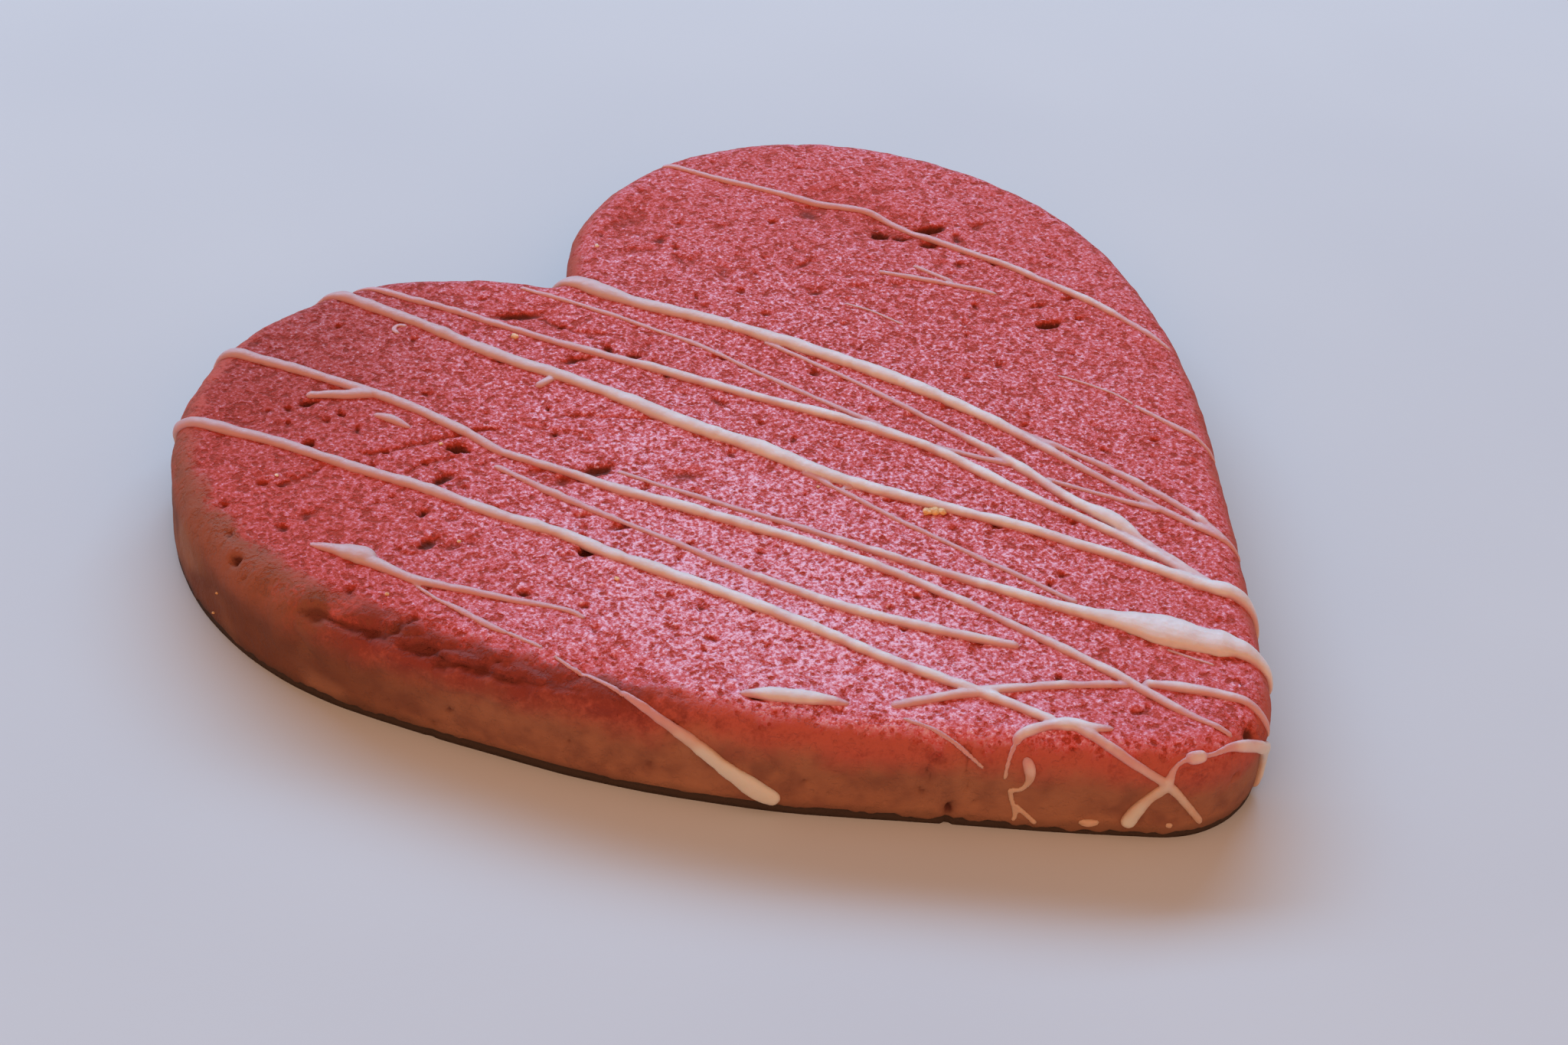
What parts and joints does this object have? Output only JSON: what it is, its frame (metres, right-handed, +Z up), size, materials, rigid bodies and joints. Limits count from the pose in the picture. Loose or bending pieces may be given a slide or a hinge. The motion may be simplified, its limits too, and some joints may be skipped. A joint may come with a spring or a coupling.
{
  "type": "iced sugar cookie",
  "caption": "Heart-shaped pink sugar cookie with a browned edge and lines of white icing drizzled over the top and down the side.",
  "frame": {"origin": "middle of the footprint, on the flat underside of the cookie", "axes": "+Z up out of the iced top, -Y towards the tip of the heart, +Y towards the notch, +X towards the right lobe"},
  "size_m": [0.1, 0.0956, 0.0096],
  "materials": {
    "biscuit": "matte baked dough, porous pink top with a pale bloom, fading to brown at the edge and the wall",
    "icing": "set sugar icing, cream white, soft gloss, a little translucent where thin",
    "crumb": "matte grains of paler dough and sugar on the surface"
  },
  "bodies": {
    "root": {"cookie": "biscuit"}
  },
  "joints": []
}
